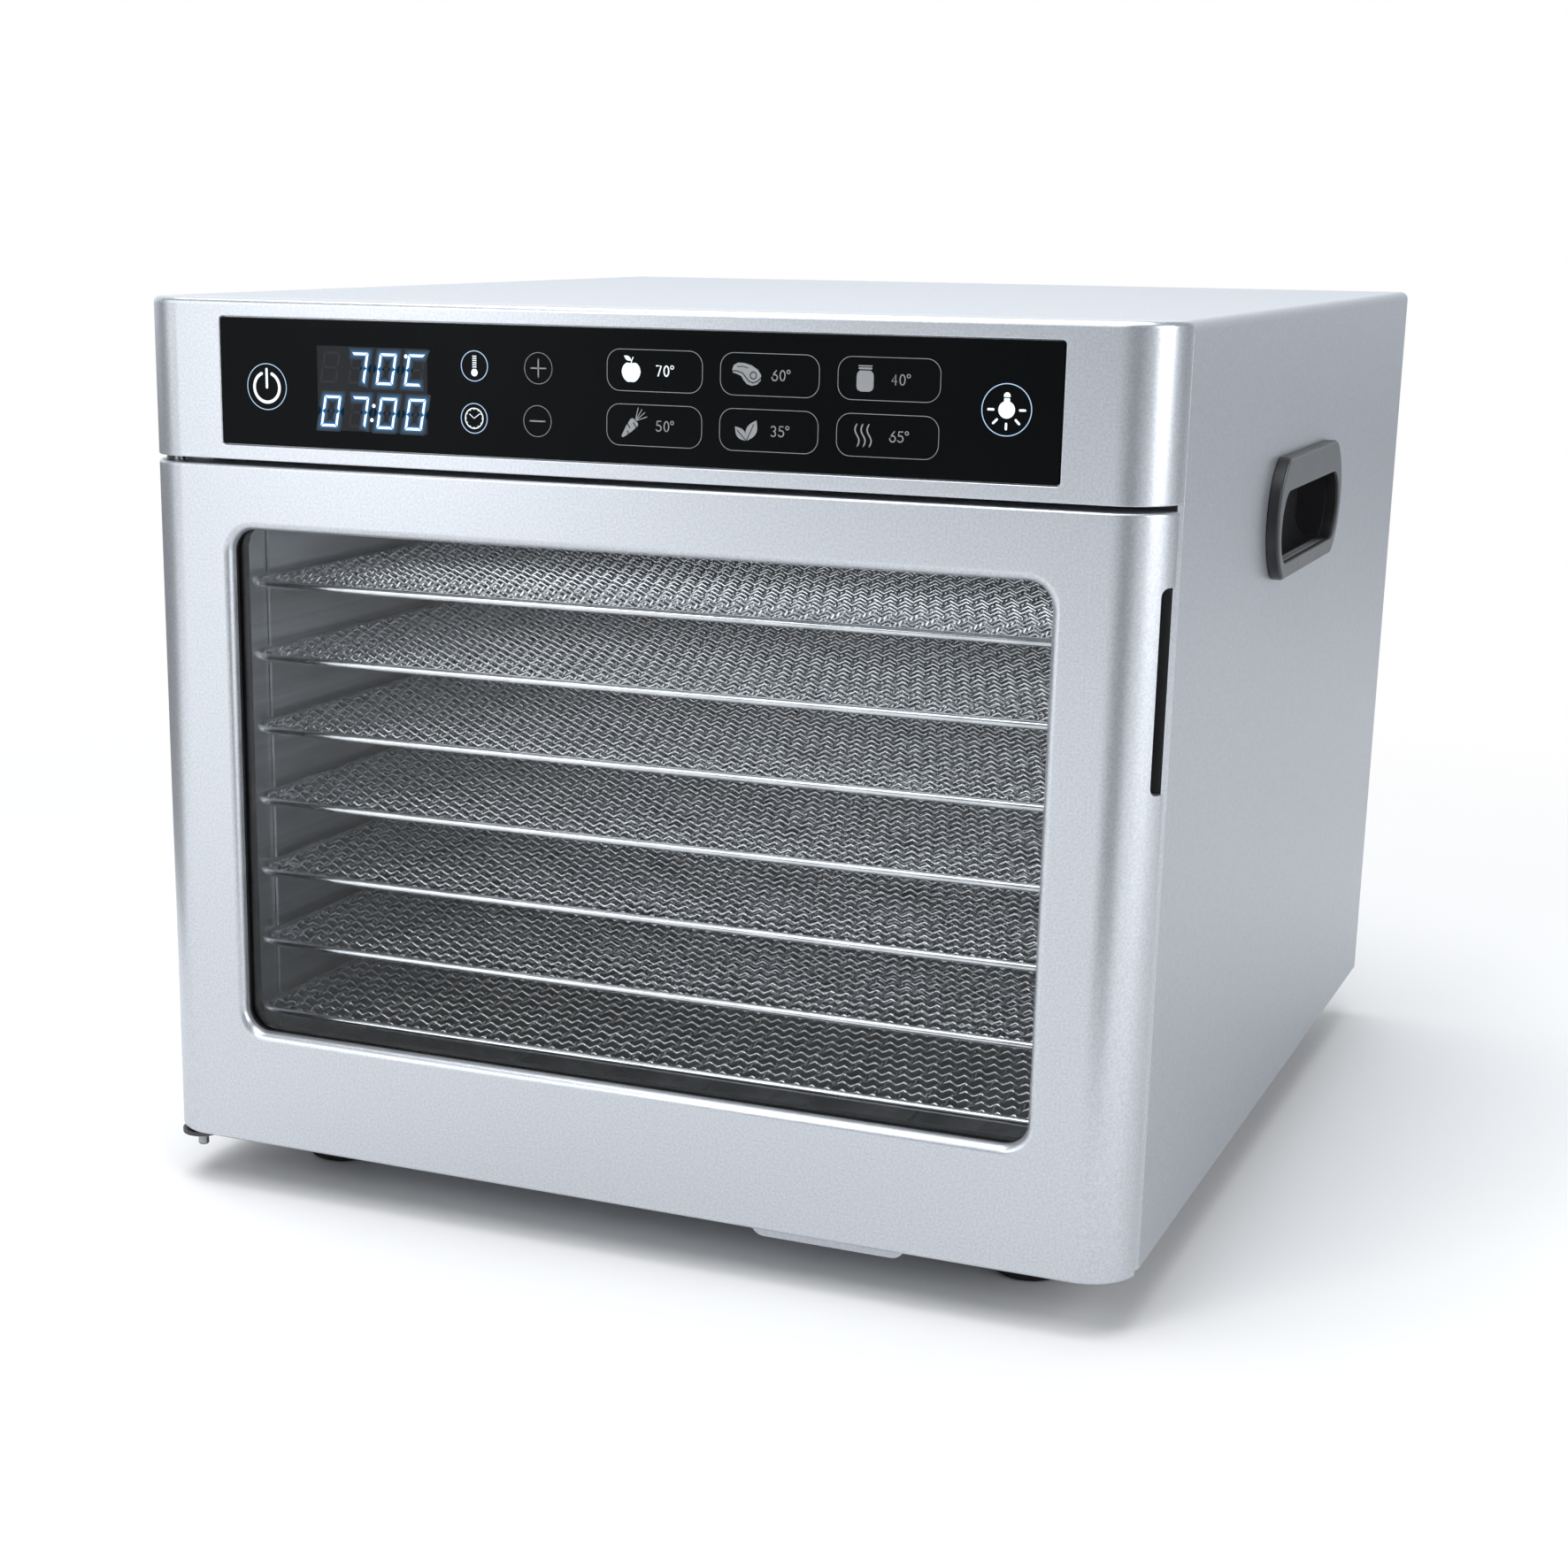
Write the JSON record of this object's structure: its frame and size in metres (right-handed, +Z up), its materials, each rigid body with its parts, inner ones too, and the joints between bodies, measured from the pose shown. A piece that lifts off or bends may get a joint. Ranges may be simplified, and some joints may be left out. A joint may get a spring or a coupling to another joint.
{
  "type": "food dehydrator",
  "caption": "Cabinet food dehydrator: silver box with glass door hinged on the left, touch panel above it, wire trays in racks, rear fan and heater, crumb tray below and side hand grips.",
  "frame": {"origin": "on the table under the middle of the cabinet, centre of the bounding box's bottom", "axes": "+Z up, -Y towards the door at the front, +X to the right seen from the front"},
  "size_m": [0.359, 0.4, 0.309],
  "materials": {
    "silver_sheet": "fine metallic silver paint",
    "silver_front": "moulded, metallic silver paint",
    "touch_glass": "back-printed black, glossy",
    "door_glass": "clear, glossy",
    "black_plastic": "fine texture",
    "black_rubber": "matt",
    "dark_steel": "dark oxide",
    "bright_steel": "satin",
    "tray_wire": "bright drawn wire",
    "galvanised": "zinc coated",
    "circuit_board": "solder resist",
    "display": "smoked",
    "white_plastic": "plain",
    "lamp_lens": "frosted"
  },
  "bodies": {
    "cabinet": {"base_pan": "galvanised", "chamber_liner": "bright_steel", "control_board": "circuit_board", "crumb_rail_left": "galvanised", "crumb_rail_right": "galvanised", "display_module": "display", "door_strike": "bright_steel", "fan_motor": "dark_steel", "fan_shroud": "galvanised", "foot_front_left": "black_rubber", "foot_front_right": "black_rubber", "foot_rear_left": "black_rubber", "foot_rear_right": "black_rubber", "front_fascia": "silver_front", "hand_grip_left": "black_plastic", "hand_grip_right": "black_plastic", "heater_ring": "dark_steel", "hinge_pin_lower": "bright_steel", "hinge_pin_upper": "bright_steel", "hinge_plate_lower": "dark_steel", "hinge_plate_upper": "dark_steel", "inlet_socket": "black_plastic", "lamp_holder": "white_plastic", "lamp_lens": "lamp_lens", "motor_bracket": "galvanised", "outer_shell": "silver_sheet", "power_board": "circuit_board", "rear_baffle": "galvanised", "rear_frame": "galvanised", "rear_panel": "galvanised", "rear_screw_1": "dark_steel", "rear_screw_2": "dark_steel", "rear_screw_3": "dark_steel", "rear_screw_4": "dark_steel", "temp_sensor": "bright_steel", "thermal_cutout": "white_plastic", "touch_glass": "touch_glass", "tray_rack_left": "bright_steel", "tray_rack_right": "bright_steel"},
    "door": {"door_frame": "silver_front", "door_glass": "door_glass", "window_gasket": "black_rubber", "door_inner_frame": "black_plastic", "door_magnet": "dark_steel", "grip_liner": "black_plastic", "hinge_bush_lower": "white_plastic", "hinge_bush_upper": "white_plastic"},
    "crumb_tray": {"crumb_tray": "silver_sheet"},
    "fan": {"fan_impeller": "dark_steel", "fan_shaft": "bright_steel"},
    "tray_1": {"tray_1": "tray_wire"},
    "tray_2": {"tray_2": "tray_wire"},
    "tray_3": {"tray_3": "tray_wire"},
    "tray_4": {"tray_4": "tray_wire"},
    "tray_5": {"tray_5": "tray_wire"},
    "tray_6": {"tray_6": "tray_wire"},
    "tray_7": {"tray_7": "tray_wire"}
  },
  "joints": [
    {"name": "door_hinge", "type": "hinge", "parent": "cabinet", "child": "door", "pos_m": [-0.165, -0.191, 0.0184], "axis": [0, 0, -1], "range_deg": [0, 120]},
    {"name": "fan_spin", "type": "hinge", "parent": "cabinet", "child": "fan", "pos_m": [0, 0.15, 0.131], "axis": [0, 1, 0], "continuous": true},
    {"name": "crumb_tray_slide", "type": "slide", "parent": "cabinet", "child": "crumb_tray", "axis": [0, -1, 0], "range_m": [0, 0.24]},
    {"name": "tray_1_slide", "type": "slide", "parent": "cabinet", "child": "tray_1", "axis": [0, -1, 0], "range_m": [0, 0.015]},
    {"name": "tray_2_slide", "type": "slide", "parent": "cabinet", "child": "tray_2", "axis": [0, -1, 0], "range_m": [0, 0.015]},
    {"name": "tray_3_slide", "type": "slide", "parent": "cabinet", "child": "tray_3", "axis": [0, -1, 0], "range_m": [0, 0.015]},
    {"name": "tray_4_slide", "type": "slide", "parent": "cabinet", "child": "tray_4", "axis": [0, -1, 0], "range_m": [0, 0.015]},
    {"name": "tray_5_slide", "type": "slide", "parent": "cabinet", "child": "tray_5", "axis": [0, -1, 0], "range_m": [0, 0.015]},
    {"name": "tray_6_slide", "type": "slide", "parent": "cabinet", "child": "tray_6", "axis": [0, -1, 0], "range_m": [0, 0.015]},
    {"name": "tray_7_slide", "type": "slide", "parent": "cabinet", "child": "tray_7", "axis": [0, -1, 0], "range_m": [0, 0.015]}
  ]
}
